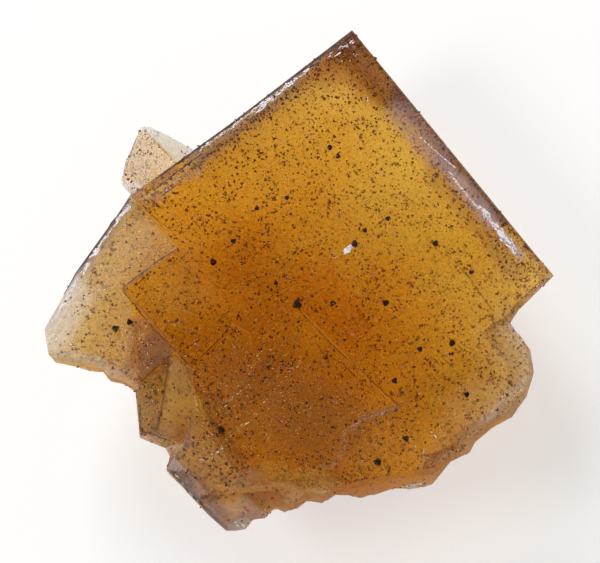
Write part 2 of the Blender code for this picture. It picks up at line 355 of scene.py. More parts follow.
@dataclass(frozen=True)
class FrostAndGlintFinish(Finish):
    """Chipped and frosted fluorite, from rose brown through golden to white; its white flakes also
    paint highlights and glints.
    """

    name: str = "frost and painted glints"
    stained: Triple = (0.42, 0.22, 0.1)
    golden: Triple = (0.86, 0.56, 0.16)
    white: Triple = (0.9, 0.84, 0.86)

    def shade(self, tree: Tree) -> dict[str, Socket]:
        """An opaque surface, paler where the flake is marked pale."""
        fine = tree.noise(tree.coordinates(), 3.0, 3.0, 0.6)
        pale = tree.mark("pale") + (fine - 0.5) * 0.5
        warm = tree.blend(pale.step(0.0, 0.45), self.stained, self.golden)
        return {"Surface": tree.node("ShaderNodeBsdfPrincipled", {
            "Base Color": tree.blend(pale.step(0.5, 0.85), warm, self.white),
            "Roughness": 0.3 + fine * 0.3, "IOR": FLUORITE_IOR})}


@dataclass(frozen=True)
class SheetFinish(Finish):
    """The white sheet that the specimen lies on, lit through from below."""

    name: str = "white sheet"
    colour: Triple = (0.46, 0.45, 0.44)
    light: Triple = (1.0, 0.985, 0.975)
    glow: float = 0.6

    def shade(self, tree: Tree) -> dict[str, Socket]:
        """A matt surface that glows."""
        return {"Surface": tree.node("ShaderNodeBsdfPrincipled", {
            "Base Color": self.colour, "Roughness": 0.9, "Specular IOR Level": 0.1,
            "Emission Color": self.light, "Emission Strength": self.glow})}


def drift(places: np.ndarray) -> np.ndarray:
    """Uneven shift that keeps the zones' borders from running straight.

    Args:
        places: points, in outline millimetres.
    Returns:
        A shift along x and y for each.
    """
    return np.array([(noise.noise_vector(Vector(p) * 0.45) * 1.1 + noise.noise_vector(
        Vector(p) * 1.7) * 0.55)[:2] for p in places])


def on_face(places: np.ndarray) -> np.ndarray:
    """Where a view that leans as the photograph's does shows places on the level face.

    Args:
        places: points, in outline millimetres.
    Returns:
        Their x and y on the level face.
    """
    flat = places[:, :2].copy()
    flat[:, 1] -= (FACE_HEIGHT - places[:, 2]) * LEAN
    return flat


@dataclass(frozen=True)
class Zone:
    """Part of the fluorite's skin that is tinted or cloudy.

    line: points it lies along, or the corners it fills; outline millimetres.
    near, far: distances from the line where the zone is full, and where it has faded out.
    tint: what is left of light that passes.
    cloud: share of the skin that is milky, and milk the colour it is milky in; on the right bevel
    they paint a highlight streak.
    haze: roughness it adds.
    filled: whether the line is closed and its inside belongs to the zone.
    ragged: how unevenly its border runs.
    below, above: heights it lies between.
    """

    line: tuple[Point, ...]
    near: float
    far: float
    tint: Triple = CLEAR
    cloud: float = 0.0
    milk_and_highlight: Triple = (0.5, 0.5, 0.5)
    haze: float = 0.0
    filled: bool = False
    ragged: float = 1.0
    below: float = 30.0
    above: float = -1.0

    def share(self, places: np.ndarray, shift: np.ndarray | float = 0.0) -> np.ndarray:
        """How far each place belongs to the zone.

        Args:
            places: points, in outline millimetres.
            shift: uneven shift of each.
        Returns:
            A share from 0 to 1 for each.
        """
        gaps = self.distance(on_face(places) + shift * self.ragged)
        rest = np.clip((gaps - self.near) / (self.far - self.near), 0.0, 1.0)
        share = 1.0 - rest * rest * (3.0 - 2.0 * rest)
        return share * (places[:, 2] < self.below) * (places[:, 2] > self.above)

    def distance(self, flat: np.ndarray) -> np.ndarray:
        """Distance of each place from the line, or 0 inside a filled one."""
        corners = np.array(self.line)
        ends = np.roll(corners, -1, axis=0) if self.filled else corners[1:]
        gaps = np.full(len(flat), 1e9)
        inside = np.zeros(len(flat), bool)
        for start, end in zip(corners, ends):
            way = end - start
            reach = np.clip((flat - start) @ way / max(way @ way, 1e-9), 0.0, 1.0)
            gaps = np.minimum(gaps, np.linalg.norm(flat - start - reach[:, None] * way, axis=1))
            crosses = (flat[:, 1] < start[1]) != (flat[:, 1] < end[1])
            rise = way[1] if abs(way[1]) > 1e-9 else 1e-9
            inside ^= crosses & (flat[:, 0] < start[0] + (flat[:, 1] - start[1]) * way[0] / rise)
        return np.where(inside, 0.0, gaps) if self.filled else gaps


TOP_CORNER = (7.0, 34.7)
RIGHT_CORNER = (33.1, 0.8)
FAR_LEFT_EDGE = ((-33.1, -5.9), (-28.8, 2.1), (-28.1, 2.9), (-21.9, 12.4))
LEFT_CRYSTAL = ((-22.0, 12.6), (-33.6, -6.0), (-32.6, -10.9), (-25.4, -12.4),
                (-22.2, -11.6), (-21.6, -5.0), (-22.8, -1.2), (-15.2, 4.9))
HOLLOW = ((-21.6, -5.6), (-19.4, -6.0), (-17.7, -7.5), (-16.4, -9.6), (-18.1, -11.2),
          (-19.6, -12.5), (-22.2, -12.4))
LOWER_EDGE = ((-9.5, -33.4), (-17.1, -25.2))
LOWER_CRYSTAL = ((-17.2, -22.4), (-14.5, -21.8), (-13.8, -20.4), (-10.4, -26.0), (-6.0, -30.4),
                 (-7.0, -34.5), (-10.0, -34.5), (-18.0, -25.0))
PALE_FACET = ((-16.8, -9.4), (-15.3, -10.9), (-14.0, -12.0), (-13.8, -14.1), (-13.5, -16.0),
              (-13.3, -18.2), (-14.0, -19.9), (-14.3, -21.6), (-15.7, -22.0), (-18.6, -20.8),
              (-18.3, -19.9), (-17.7, -17.1), (-17.4, -15.1), (-17.0, -12.2))
BROWN_FACET = ((-18.6, -6.8), (-16.8, -9.4), (-17.0, -12.2), (-17.4, -15.1), (-17.7, -17.1),
               (-18.3, -19.9), (-18.6, -20.8), (-21.0, -20.9), (-20.9, -16.7), (-21.7, -15.1),
               (-20.8, -14.6), (-20.9, -12.0), (-20.7, -8.8))
CORNER_FACET = ((-12.4, -31.4), (-10.3, -30.5), (-6.0, -30.1), (-3.8, -32.5), (-6.9, -34.2),
                (-9.3, -34.6))
FLECK_COLOUR = (0.85, 0.52, 0.05)

ZONES = (
    Zone((TOP_CORNER, (12.4, 27.7)), 2.5, 6.7, (0.4, 0.25, 0.2), ragged=0.6),
    Zone((TOP_CORNER, (1.0, 29.9)), 1.6, 5.4, (0.66, 0.5, 0.5), ragged=0.6, above=21.0),
    Zone(((5.0, 28.8), (8.6, 27.0)), 1.0, 4.0, (0.9, 0.75, 0.7)),
    Zone(((14.0, 25.6), (26.4, 9.6)), 1.0, 2.7, (0.52, 0.42, 0.46), 0.05, (0.42, 0.3, 0.28),
         ragged=0.3),
    Zone(((27.2, 8.5), (31.4, 3.1)), 0.6, 1.7, (0.76, 0.68, 0.7), ragged=0.3),
    Zone(((20.8, 16.7), (26.4, 9.6)), 0.9, 1.7, (0.8, 0.73, 0.74), ragged=0.3),
    Zone(((29.9, 5.0), (32.1, 2.1)), 0.3, 1.3, (0.76, 0.62, 0.5), ragged=0.2),
    Zone((TOP_CORNER, RIGHT_CORNER), 0.1, 0.5, CLEAR, 0.65, (0.42, 0.23, 0.11),
         ragged=0.1),
    Zone(((13.6, 22.9), (18.3, 16.8)), 0.6, 2.9, (0.72, 0.6, 0.66), 0.25, (0.5, 0.38, 0.4),
         ragged=0.3),
    # These two zones paint the right bevel's highlight streak as a pale milky skin.
    Zone(((18.5, 16.5), (25.1, 8.1)), 0.4, 1.7, (0.84, 0.78, 0.88), 0.38, (0.54, 0.45, 0.5),
         ragged=0.3),
    Zone(((25.1, 8.1), (28.9, 3.2)), 0.2, 0.8, (0.88, 0.84, 0.86), 0.42, (0.62, 0.5, 0.54),
         ragged=0.15),
    Zone(((18.0, 14.6), (23.4, 7.4), (28.0, 1.2)), 0.4, 2.2, (0.78, 0.7, 0.76), 0.06,
         (0.5, 0.36, 0.25), ragged=0.5),
    Zone(((31.6, 1.6), (30.2, -1.4)), 1.1, 2.4, (1.0, 0.94, 0.8), 0.2, (0.9, 0.52, 0.18)),
    Zone(((9.0, 16.0), (20.0, 2.0)), 2.5, 7.0, CLEAR, 0.1, (0.95, 0.6, 0.06),
         above=JUST_BELOW),
    Zone(((-17.0, 4.0), (-16.0, -1.0)), 2.0, 5.5, CLEAR, 0.07, (0.62, 0.45, 0.1),
         above=23.3),
    Zone(((15.0, -17.5), (21.5, -13.5)), 1.5, 5.0, (0.86, 0.82, 0.8)),
    Zone((TOP_CORNER, (-8.7, 21.95), (-15.0, 17.3)), 0.3, 1.1, (0.62, 0.54, 0.56), 0.1,
         (0.5, 0.42, 0.4), ragged=0.4, above=21.0),
    Zone(((32.4, 0.4), (28.6, -5.2)), 0.15, 0.7, CLEAR, 0.25, (0.9, 0.76, 0.5),
         ragged=0.2),
    Zone(((-1.5, 27.0), (-9.0, 21.0), (-13.5, 17.4)), 0.9, 2.6, (0.76, 0.78, 0.8), 0.18,
         (0.2, 0.15, 0.17), ragged=0.4, above=21.0),
    Zone(((-6.5, 4.5), (-4.5, -3.5)), 1.5, 6.5, (0.86, 0.76, 0.5), above=JUST_BELOW),
    Zone(((4.0, 32.0), (-8.7, 21.95), (-14.0, 18.0)), 1.5, 7.5, (0.8, 0.73, 0.8), above=21.0),
    Zone(((-12.0, 8.0), (2.0, 17.0)), 4.0, 13.0, (0.9, 0.76, 0.5), above=JUST_BELOW),
    Zone(((-6.4, -9.5), (0.1, -6.8), (4.0, -21.8)), 2.5, 9.5, (0.84, 0.8, 0.7)),
    Zone(((-8.0, -16.0), (8.0, -22.0)), 2.0, 7.0, (0.9, 0.95, 1.0), 0.02, (0.6, 0.4, 0.25)),
    Zone(((9.0, -8.0), (22.0, -14.0)), 3.0, 8.0, (0.91, 0.86, 0.62), above=22.0),
    Zone(((13.0, -12.0), (15.5, -23.0)), 1.5, 6.0, (0.95, 0.9, 0.85), above=22.0),
    Zone(((-7.0, -27.6), (-3.0, -29.0), (3.0, -29.6)), 0.8, 2.8, (0.9, 0.8, 0.64), 0.14,
         (0.7, 0.5, 0.24), 0.35),
    Zone(((-3.8, -26.0), (4.0, -27.0)), 0.6, 2.2, CLEAR, 0.12, (0.75, 0.5, 0.1),
         above=23.2),
    Zone(((5.0, -29.2), (11.5, -28.6), (16.5, -26.2), (20.5, -22.6)), 0.6, 2.0, (0.9, 0.9, 0.55),
         0.08, (0.85, 0.6, 0.16), below=23.6),
    Zone(((12.6, -17.1), (8.2, -18.8)), 0.15, 0.6, (0.7, 0.6, 0.5), haze=0.6, ragged=0.0),
    Zone(((-19.6, 12.0), (-12.5, 17.2)), 0.8, 2.4, (0.92, 0.9, 0.95), 0.14, (0.66, 0.5, 0.38),
         above=JUST_BELOW),
    Zone(LEFT_CRYSTAL, 0.0, 0.4, (0.82, 0.8, 0.54), 0.1, (0.85, 0.72, 0.5), 0.1, True, 0.0,
         23.93),
    Zone(((-21.0, 6.0), (-26.0, 0.0)), 1.0, 5.5, CLEAR, 0.16, (0.84, 0.72, 0.55),
         below=JUST_BELOW),
    Zone(FAR_LEFT_EDGE, 0.9, 2.0, (0.7, 0.62, 0.66), 0.14, (0.5, 0.4, 0.44), ragged=0.4,
         below=JUST_BELOW),
    Zone(((-32.6, -8.0), (-31.4, -4.4), (-29.8, -1.4)), 0.8, 5.5, CLEAR, 0.56,
         (0.84, 0.73, 0.66), below=JUST_BELOW),
    Zone(((-31.5, -10.2), (-26.0, -11.6), (-23.5, -13.0)), 0.6, 2.6, (0.95, 0.95, 0.95), 0.34,
         (0.84, 0.66, 0.52), below=JUST_BELOW),
    Zone(HOLLOW, 0.0, 0.6, (0.68, 0.52, 0.12), 0.22, (0.46, 0.21, 0.01), 0.5, True, 0.8, JUST_BELOW),
    Zone(LOWER_CRYSTAL, 0.0, 3.6, (0.78, 0.67, 0.6), 0.13, (0.48, 0.35, 0.22), 0.2, True),
    Zone(((-20.5, -17.0), (-17.5, -20.5)), 1.0, 3.0, CLEAR, 0.15, (0.52, 0.4, 0.32)),
    Zone(((-21.5, -1.2), (-19.5, -4.5)), 1.0, 3.5, (0.85, 0.77, 0.6), above=23.3),
    Zone(((-13.4, -20.2), (-9.0, -25.0), (-5.0, -28.6)), 1.0, 4.5, (0.8, 0.68, 0.42), 0.05,
         (0.6, 0.38, 0.12)),
    Zone(LOWER_EDGE, 0.9, 2.4, (0.66, 0.57, 0.58), 0.22, (0.34, 0.24, 0.23)),
    Zone(((-16.6, -25.8), (-13.4, -29.4)), 0.5, 1.8, (0.68, 0.6, 0.62), 0.12, (0.22, 0.16, 0.16)),
    Zone(CORNER_FACET, 0.0, 0.8, CLEAR, 0.34, (0.6, 0.45, 0.44), 0.2, True),
    Zone(((-8.2, -33.2), (-6.4, -33.3)), 0.5, 1.2, CLEAR, 0.4, (0.85, 0.78, 0.75)),
    Zone(PALE_FACET, 0.0, 0.3, (0.66, 0.5, 0.2), 0.15, (0.66, 0.47, 0.24), 0.2, True, 0.15,
         JUST_BELOW),
    Zone(((-18.4, -20.6), (-15.4, -21.6)), 0.6, 2.6, CLEAR, 0.2, (0.66, 0.46, 0.4),
         below=JUST_BELOW),
    Zone(BROWN_FACET, 0.0, 0.3, (0.64, 0.45, 0.12), 0.1, (0.42, 0.25, 0.08), 0.2, True, 0.15,
         JUST_BELOW),
    Zone(((-21.0, 20.4), (-23.0, 14.4), (-18.4, 13.2), (-16.6, 15.4), (-20.4, 20.0)), 0.2, 1.0,
         (0.64, 0.46, 0.24), 0.06, (0.72, 0.58, 0.4), 0.05, True, 0.4, JUST_BELOW),
    Zone(((-20.2, 21.2), (-17.3, 20.2), (-14.0, 18.0), (-15.4, 15.8), (-17.0, 17.4),
          (-19.6, 20.2)), 0.0, 0.4, CLEAR, 0.55, (0.95, 0.92, 0.9), 0.0, True, 0.2,
         21.0),
    Zone(((8.2, -18.8), (6.0, -20.9), (5.9, -22.2), (5.2, -24.2), (3.9, -25.3), (2.6, -24.8)),
         0.05, 0.4, CLEAR, 0.1, (0.66, 0.48, 0.42), ragged=0.3),
    Zone(((2.0, -27.4), (4.4, -27.0)), 0.8, 2.0, CLEAR, 0.1, (0.7, 0.5, 0.2)),
    Zone(((17.0, -24.6), (21.6, -20.4), (26.4, -18.0)), 0.8, 2.6, (0.92, 0.86, 0.82), 0.06,
         (0.55, 0.4, 0.3), ragged=0.5),
    Zone(((29.5, -9.0), (29.8, -14.5), (24.0, -20.0)), 1.0, 7.0, (0.97, 0.97, 0.95), 0.17,
         (0.85, 0.64, 0.36), 0.1),
    Zone(((24.0, -18.8), (29.6, -13.4)), 0.3, 0.9, CLEAR, 0.3, (0.85, 0.74, 0.62),
         ragged=0.3),
    Zone(((-13.0, -12.0), (0.0, -18.0)), 3.0, 11.0, (0.74, 0.67, 0.42), above=23.2),
)


@dataclass(frozen=True)
class Sector:
    """Growth sector of the level face, with straight borders.

    corners: its outline.
    tint: what is left of light that passes.
    crowd: how densely grains lie in it, beside elsewhere.
    """

    corners: tuple[Point, ...]
    tint: Triple
    crowd: float = 1.0

    def holds(self, centres: np.ndarray) -> np.ndarray:
        """Whether each place lies inside, for places in outline millimetres."""
        zone = Zone(self.corners, 0.0, 1e-6, filled=True, above=LEVEL_FACE)
        return zone.share(centres) > 0.5


SECTORS = (
    Sector(((-13.9, -11.7), (-10.4, -8.3), (-9.0, -9.4), (-7.2, -9.9), (-7.3, -12.2),
            (-9.5, -14.0), (-11.7, -16.2), (-13.5, -15.5)), (0.98, 0.9, 0.7), 0.12),
    Sector(((-9.0, -6.8), (-5.1, -6.8), (-5.3, -10.3), (-7.2, -10.7), (-8.7, -8.8)),
           (1.0, 0.95, 0.85), 0.25),
    Sector(((-1.0, 1.1), (-0.3, 3.4), (2.3, 5.3), (4.7, 2.4), (9.5, -6.8), (6.5, -9.4),
            (0.5, -4.6)), (0.96, 0.86, 0.7)),
    Sector(((8.7, -6.0), (9.5, -6.8), (6.5, -9.4), (7.7, -10.9), (11.1, -9.9), (11.6, -10.5),
            (14.4, -7.6), (11.8, -4.1)), (0.98, 0.93, 0.8)),
    Sector(((0.5, -4.6), (13.3, -17.3), (11.2, -19.7), (6.6, -21.8), (6.0, -19.0), (2.9, -16.2),
            (-5.1, -24.9), (-8.3, -27.1), (-12.2, -21.8), (-4.4, -8.8)), (0.93, 0.92, 0.85), 1.3),
    Sector(((2.9, -16.2), (6.0, -19.0), (7.7, -19.3), (5.6, -21.2), (6.0, -21.8), (5.1, -24.3),
            (3.9, -25.4), (2.5, -24.6), (0.1, -27.2), (-4.8, -28.6), (-8.3, -27.1),
            (-5.1, -24.9)), (0.9, 0.88, 0.8), 0.35),
    Sector(((-15.7, 4.4), (-23.0, -1.1), (-14.2, -11.7), (-8.7, -5.8), (-10.0, -4.5)),
           (0.97, 0.94, 0.85)),
)

CLUMPS = (
    (9.9, 2.2), (9.4, 1.5), (9.8, 0.1), (10.8, -5.7), (9.8, -9.2), (13.0, -15.4), (15.5, -16.0),
    (15.7, -17.3), (21.4, -15.4), (26.8, -15.5), (24.8, -13.5), (23.4, -12.2), (19.8, -8.4),
    (7.5, 11.6), (8.6, 10.2), (-9.2, 11.2), (-9.6, 4.8), (-10.0, 8.4), (-12.2, 7.9),
    (-13.4, 8.4), (-19.6, 3.1), (-20.4, 2.4), (-16.5, 2.4), (-16.9, 1.8), (-13.3, -2.7),
    (-14.7, -3.9), (-4.2, -11.6), (-6.1, -12.9), (-4.8, -8.8), (-4.8, -7.1), (-13.7, -12.9),
    (-10.3, -20.4), (-2.3, -16.3), (-0.7, -14.3),
    (4.0, -11.2), (3.6, -9.8), (1.8, -11.6), (19.6, 8.8), (18.3, 11.4), (13.8, 12.2),
    (14.2, 10.7), (19.5, 3.9), (17.3, 0.7), (27.4, -13.6), (25.7, -12.5),
    (-1.2, -11.7), (-0.4, -10.9), (20.4, 2.4),
)
DENSE_PATCHES = (
    Zone(HOLLOW, 0.0, 0.3, filled=True, below=JUST_BELOW),
    Zone(BROWN_FACET, 0.0, 0.3, filled=True, below=JUST_BELOW),
    Zone(((-17.0, -25.0), (-14.0, -21.8), (-12.8, -20.0), (-6.0, -28.0), (-12.0, -30.4)), 0.0, 0.3,
         filled=True, below=JUST_BELOW),
)
CLUMP_REACH = 0.55
CLUMP_CROWD = 4.0


@dataclass(frozen=True)
class Streak:
    """A line on the fluorite that a seam, a dark line of painted edge shade or a row of flakes
    follows.

    line: points it runs through, in outline millimetres on the level face.
    width: how wide it is, in millimetres.
    amount: flakes for each square millimetre.
    size: half the length of a large flake, in millimetres.
    pale: from 0 for stained to 1 for white.
    """

    line: tuple[Point, ...]
    width: float
    amount: float = 0.0
    size: float = 0.0
    pale: float = 0.0

    def stations(self, gap: float) -> tuple[np.ndarray, np.ndarray]:
        """Points along the line and the way it runs at each.

        Args:
            gap: millimetres between points.
        Returns:
            Points and unit vectors, both in outline millimetres.
        """
        corners = np.array(self.line)
        lengths = np.linalg.norm(np.diff(corners, axis=0), axis=1)
        along = np.concatenate(([0.0], np.cumsum(lengths)))
        count = max(int(along[-1] / gap), 2) + 1
        steps = np.linspace(0.0, along[-1], count)
        points = np.column_stack([np.interp(steps, along, corners[:, k]) for k in (0, 1)])
        ways = np.gradient(points, axis=0)
        return points, ways / np.linalg.norm(ways, axis=1)[:, None]


STAINED_SEAMS = (
    Streak(((-15.7, 4.4), (-18.9, 2.2), (-23.1, -1.2)), 0.22),
    Streak(((-19.1, 1.3), (-22.0, -1.4)), 0.08),
    Streak(((-23.1, -1.2), (-19.0, -6.5), (-16.5, -9.1), (-14.2, -11.7)), 0.2),
    Streak(((-21.6, -2.6), (-18.3, -6.5), (-16.1, -9.0)), 0.09),
    Streak(((-14.0, -11.7), (-11.3, -9.0), (-8.7, -6.0), (-10.0, -4.5)), 0.1),
    Streak(((-6.0, 3.1), (-4.0, 5.2)), 0.07),
    Streak(((-11.7, 0.1), (-10.8, -0.7), (-9.5, -2.2), (-7.0, -0.4)), 0.07),
    Streak(((-5.3, -3.7), (-3.2, -2.0), (-3.9, -1.4)), 0.06),
    Streak(((-3.4, 3.0), (-2.7, 2.2)), 0.1),
    Streak(((-3.0, 2.9), (-2.4, 2.0)), 0.1),
    Streak(((-20.5, 10.1), (-18.6, 8.3), (-16.5, 6.7)), 0.1),
    Streak(((-1.3, 2.6), (-0.5, 3.3), (2.3, 5.3)), 0.06),
    Streak(((-0.3, -3.5), (0.5, -4.6), (4.9, -9.4), (9.2, -13.5), (13.3, -17.3)), 0.11),
    Streak(((2.2, -8.2), (2.9, -9.7), (5.6, -11.3), (6.2, -12.0), (9.8, -15.2)), 0.08),
    Streak(((6.2, -9.8), (9.2, -6.7), (8.7, -6.0)), 0.07),
    Streak(((11.1, -9.9), (11.6, -10.5), (14.4, -7.6)), 0.07),
    Streak(((20.3, 2.4), (22.4, 0.0), (25.1, -4.1)), 0.1),
    Streak(((16.6, -9.8), (18.3, -11.6)), 0.08),
    Streak(((18.6, -10.5), (20.2, -12.1)), 0.09),
    Streak(((-18.2, 11.2), (-17.0, 12.2), (-15.8, 13.1)), 0.14),
    Streak(((-11.1, -19.0), (-10.3, -20.4), (-9.6, -20.9)), 0.22),
    Streak(((29.0, -0.6), (31.8, -3.0)), 0.06),
    Streak(((-16.8, -9.4), (-17.0, -12.2), (-17.7, -17.1), (-18.6, -20.8)), 0.1),
    Streak(((-32.6, -7.3), (-30.8, -8.8)), 0.07),
    Streak(((-29.6, -7.7), (-28.2, -8.4)), 0.06),
)
# Dark lines along the crystal edges: painted shade for the dark outline that the clear crystal's
# edges show.
PAINTED_EDGE_SHADE = (
    Streak(((6.7, 34.1), (4.0, 31.9)), 0.12),
    Streak(((4.9, 32.5), (-0.5, 28.1), (-8.3, 21.85), (-13.1, 18.15), (-18.6, 13.9)), 0.34),
    Streak(((3.6, 30.9), (-0.2, 27.8), (-3.2, 25.4)), 0.16),
    Streak(((-12.5, 17.5), (-15.4, 15.2), (-18.8, 12.5)), 0.26),
    Streak(((-22.1, 11.2), (-28.0, 2.6), (-32.4, -5.1)), 0.42),
    Streak(((-16.9, -25.3), (-13.4, -29.2), (-10.1, -32.8)), 0.4),
    Streak(((-20.6, -16.8), (-20.6, -20.5), (-18.4, -21.0), (-16.8, -21.8)), 0.18),
    Streak(((-21.2, 20.4), (-23.2, 14.3)), 0.12),
)
FLAKES_AND_GLINTS = (
    # Rows along the right bevel: their white flakes paint the bevel's highlight streaks.
    Streak(((14.6, 21.4), (16.4, 19.2)), 0.12, 30.0, 0.22, 0.6),
    Streak(((15.9, 19.6), (18.1, 17.4), (20.4, 15.4)), 0.2, 40.0, 0.36, 0.9),
    Streak(((16.9, 18.6), (18.9, 16.7), (20.3, 15.4)), 0.14, 40.0, 0.3, 0.85),
    Streak(((19.5, 14.8), (22.1, 11.4), (23.5, 9.7)), 0.4, 36.0, 0.36, 0.85),
    Streak(((23.5, 10.1), (25.2, 8.0), (27.1, 5.5), (28.4, 3.7)), 0.9, 40.0, 0.42, 0.97),
    Streak(((26.0, 6.6), (28.1, 3.7)), 0.7, 60.0, 0.42, 1.0),
    Streak(((32.2, 0.8), (30.8, -1.1)), 0.1, 26.0, 0.24, 0.7),
    Streak(((31.6, 1.4), (30.0, -0.7)), 0.1, 26.0, 0.24, 0.7),
    Streak(((30.9, 1.9), (29.5, 0.1)), 0.1, 26.0, 0.2, 0.6),
    Streak(((28.3, 5.9), (29.6, 4.1)), 0.4, 14.0, 0.2, 0.7),
    # Rows along the upper left bevel: white flakes that paint its highlight streaks, mixed with real
    # chips.
    Streak(((-5.6, 22.9), (-4.3, 24.1), (-2.1, 26.2), (0.0, 27.9), (1.3, 28.9)), 0.6, 36.0,
           0.4, 0.95),
    Streak(((-13.0, 17.8), (-8.1, 21.5), (-3.5, 25.2)), 0.5, 32.0, 0.36, 0.9),
    Streak(((-13.4, 18.2), (-10.1, 20.6)), 0.4, 40.0, 0.4, 0.95),
    Streak(((-14.6, 17.3), (-13.0, 18.6)), 0.5, 24.0, 0.3, 1.0),
    Streak(((1.3, 28.9), (4.2, 31.2)), 0.3, 12.0, 0.24, 0.7),
    Streak(((4.2, 30.9), (6.0, 32.0), (7.2, 32.6)), 0.8, 26.0, 0.4, 0.85),
    Streak(((4.6, 30.2), (7.4, 31.4)), 1.6, 5.0, 0.26, 0.85),
    Streak(((7.3, 28.4), (8.7, 27.6)), 0.5, 8.0, 0.26, 0.7),
    Streak(((8.9, 24.9), (9.3, 24.2)), 0.4, 20.0, 0.22, 0.8),
    Streak(((-22.0, 10.3), (-23.6, 8.6), (-25.4, 6.1), (-26.6, 4.4)), 0.7, 50.0, 0.36, 0.85),
    Streak(((-23.0, 9.0), (-27.2, 3.0)), 0.3, 50.0, 0.36, 0.9),
    Streak(((-26.3, 4.2), (-27.5, 2.2), (-28.4, 1.0)), 0.9, 46.0, 0.4, 0.95),
    Streak(((-28.8, 0.2), (-31.0, -3.8), (-31.9, -5.6)), 0.6, 36.0, 0.34, 1.0),
    Streak(((-32.2, -6.6), (-30.5, -8.6), (-28.4, -9.0)), 1.6, 3.5, 0.3, 1.0),
    Streak(((-16.6, -25.5), (-14.5, -28.1), (-12.6, -30.3)), 0.3, 18.0, 0.3, 0.75),
    Streak(((-15.9, -25.2), (-14.2, -27.4)), 0.2, 14.0, 0.3, 0.7),
    Streak(((-8.4, -32.9), (-6.4, -33.2)), 0.7, 16.0, 0.36, 0.9),
    Streak(((-12.7, -24.2), (-11.3, -24.1), (-9.8, -22.6)), 0.2, 34.0, 0.26, 0.85),
    Streak(((-9.0, -21.2), (-6.2, -19.0)), 0.16, 34.0, 0.24, 0.6),
    Streak(((-12.6, -24.3), (-10.4, -23.1), (-9.6, -21.8), (-9.0, -20.5), (-6.5, -19.2),
            (-5.7, -18.1), (-4.4, -16.3), (-2.3, -13.9), (-0.5, -12.5), (0.4, -10.3)), 0.35,
           16.0, 0.22, 0.6),
    Streak(((-11.1, -18.4), (-8.7, -16.2), (-6.4, -13.9)), 0.3, 14.0, 0.22, 0.6),
    Streak(((-14.6, -18.6), (-13.9, -19.1)), 0.4, 18.0, 0.2, 0.9),
    Streak(((-9.6, -14.3), (-7.7, -14.1), (-6.5, -13.6), (-6.2, -11.8), (-4.4, -8.8)), 0.4, 8.0,
           0.2, 0.55),
    Streak(((-8.2, -10.2), (-6.6, -12.0), (-4.8, -10.9)), 0.4, 7.0, 0.2, 0.6),
    Streak(((-1.4, -12.4), (-0.7, -11.2)), 1.2, 6.0, 0.24, 0.9),
    Streak(((16.9, -20.5), (17.6, -21.2), (17.4, -21.9)), 0.6, 16.0, 0.36, 0.85),
    # The next five rows paint glints and a bright patch of reflected light as white flakes.
    Streak(((14.2, -21.9), (15.1, -23.3)), 1.4, 5.0, 0.2, 0.95),
    Streak(((16.0, -23.3), (16.9, -24.2)), 0.3, 20.0, 0.2, 1.0),
    Streak(((13.3, -28.0), (14.8, -27.9), (16.1, -27.3)), 0.7, 16.0, 0.4, 1.0),
    Streak(((5.9, 3.7), (7.0, 4.9)), 0.7, 60.0, 0.5, 0.85),
    Streak(((6.9, 4.6), (7.9, 5.3)), 0.5, 14.0, 0.3, 0.7),
    Streak(((-20.8, 20.4), (-22.2, 17.0), (-23.4, 13.9)), 0.6, 9.0, 0.3, 0.85),
    Streak(((-19.6, 19.6), (-16.9, 16.4)), 0.5, 8.0, 0.26, 0.9),
    Streak(((-17.9, 12.0), (-15.4, 14.0)), 0.5, 14.0, 0.24, 1.0),
    # The next six rows are tiny white spots that paint glints of light on grains and pits.
    Streak(((-13.6, -8.9), (-13.1, -7.9)), 0.25, 40.0, 0.2, 0.95),
    Streak(((-12.4, -1.5), (-12.0, -1.1)), 0.25, 40.0, 0.14, 1.0),
    Streak(((-5.7, 10.1), (-5.3, 9.9)), 0.25, 40.0, 0.16, 1.0),
    Streak(((-2.3, 14.0), (-1.7, 13.7)), 0.3, 20.0, 0.16, 0.8),
    Streak(((17.0, -17.0), (17.5, -16.5)), 0.2, 40.0, 0.2, 0.9),
    Streak(((11.0, -3.1), (11.5, -2.9)), 0.25, 20.0, 0.18, 0.9),
    Streak(((17.6, -2.2), (20.0, -5.2)), 0.06, 14.0, 0.14, 0.6),
    Streak(((-22.6, -4.0), (-24.0, -5.8)), 0.12, 20.0, 0.2, 0.7),
    Streak(((-18.4, 8.0), (-16.6, 6.5)), 0.1, 10.0, 0.16, 0.6),
    Streak(((-22.8, -11.0), (-22.0, -11.4)), 0.3, 20.0, 0.2, 0.9),
    Streak(((-18.0, -13.1), (-17.8, -12.9)), 0.3, 30.0, 0.18, 0.9),
    Streak(((-16.0, -13.5), (-2.0, -8.5)), 10.0, 2.4, 0.15, 0.5),
    Streak(((-14.0, -21.5), (8.0, -13.5)), 9.0, 2.4, 0.15, 0.5),
    Streak(((-14.0, -22.5), (-2.0, -25.5)), 5.0, 2.4, 0.15, 0.6),
    Streak(((-27.0, 0.0), (-19.0, 6.0)), 9.0, 3.0, 0.16, 0.8),
    Streak(((-11.0, 9.0), (7.0, 23.0)), 13.0, 1.6, 0.13, 0.5),
    Streak(((2.0, 4.0), (27.0, -4.0)), 14.0, 1.6, 0.13, 0.5),
    Streak(((6.0, -22.0), (22.0, -16.0)), 9.0, 2.0, 0.14, 0.5),
    Streak(((-21.5, -8.0), (-19.0, -11.0)), 4.0, 4.0, 0.15, 0.6),
    Streak(((-26.0, -5.0), (-21.0, -9.0)), 7.0, 3.0, 0.16, 0.8),
    Streak(((-20.0, -7.0), (-19.6, -19.0)), 3.0, 4.0, 0.15, 0.7),
)


def add_object(name: str, data: bpy.types.ID) -> bpy.types.Object:
    """Put an object into the scene.

    Args:
        name: what it is called.
        data: its mesh, camera or light.
    Returns:
        The object.
    """
    made = bpy.data.objects.new(name, data)
    bpy.context.scene.collection.objects.link(made)
    return made


